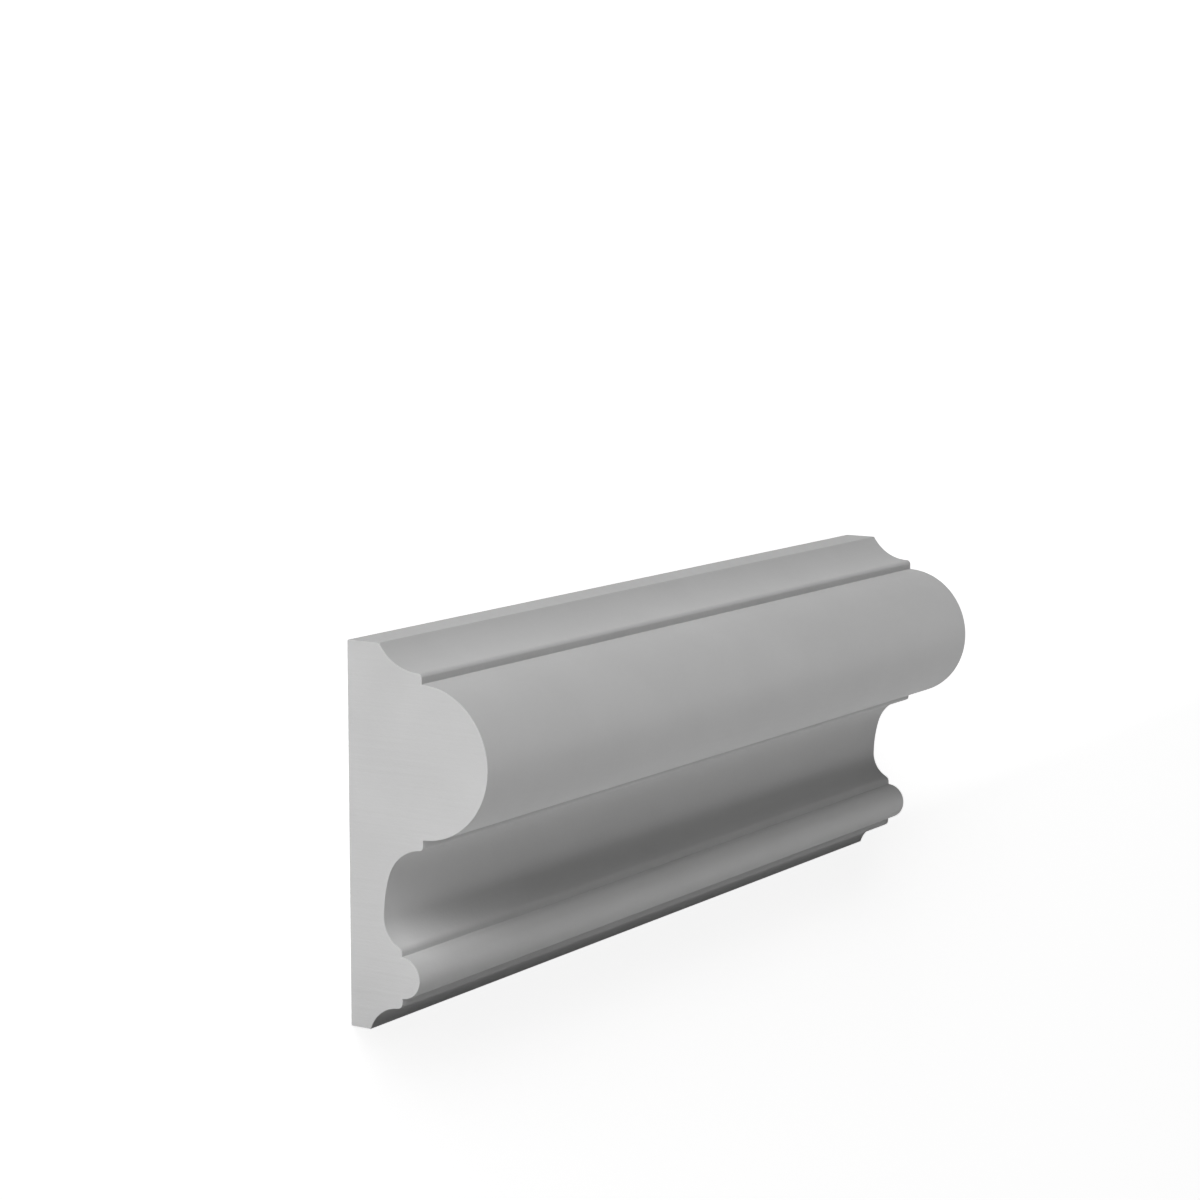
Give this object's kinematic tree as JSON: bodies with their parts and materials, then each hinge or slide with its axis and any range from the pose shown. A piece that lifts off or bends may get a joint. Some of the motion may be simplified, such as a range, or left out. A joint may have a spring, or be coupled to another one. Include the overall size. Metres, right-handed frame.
{
  "type": "dado rail",
  "caption": "Dado rail moulding: a straight length with a top cove, bold half-round torus, hollow scotia, small bead and lower cove on a flat back, primed matt grey.",
  "frame": {"origin": "centre of the flat back, midway along the length and the height, on the surface that the rail lies on", "axes": "+X along the length, +Y towards the edge that is uppermost on a wall, +Z out from the wall"},
  "size_m": [0.2, 0.075, 0.032],
  "materials": {
    "grey_primer": "matte"
  },
  "bodies": {
    "root": {"dado_rail": "grey_primer"}
  },
  "joints": []
}
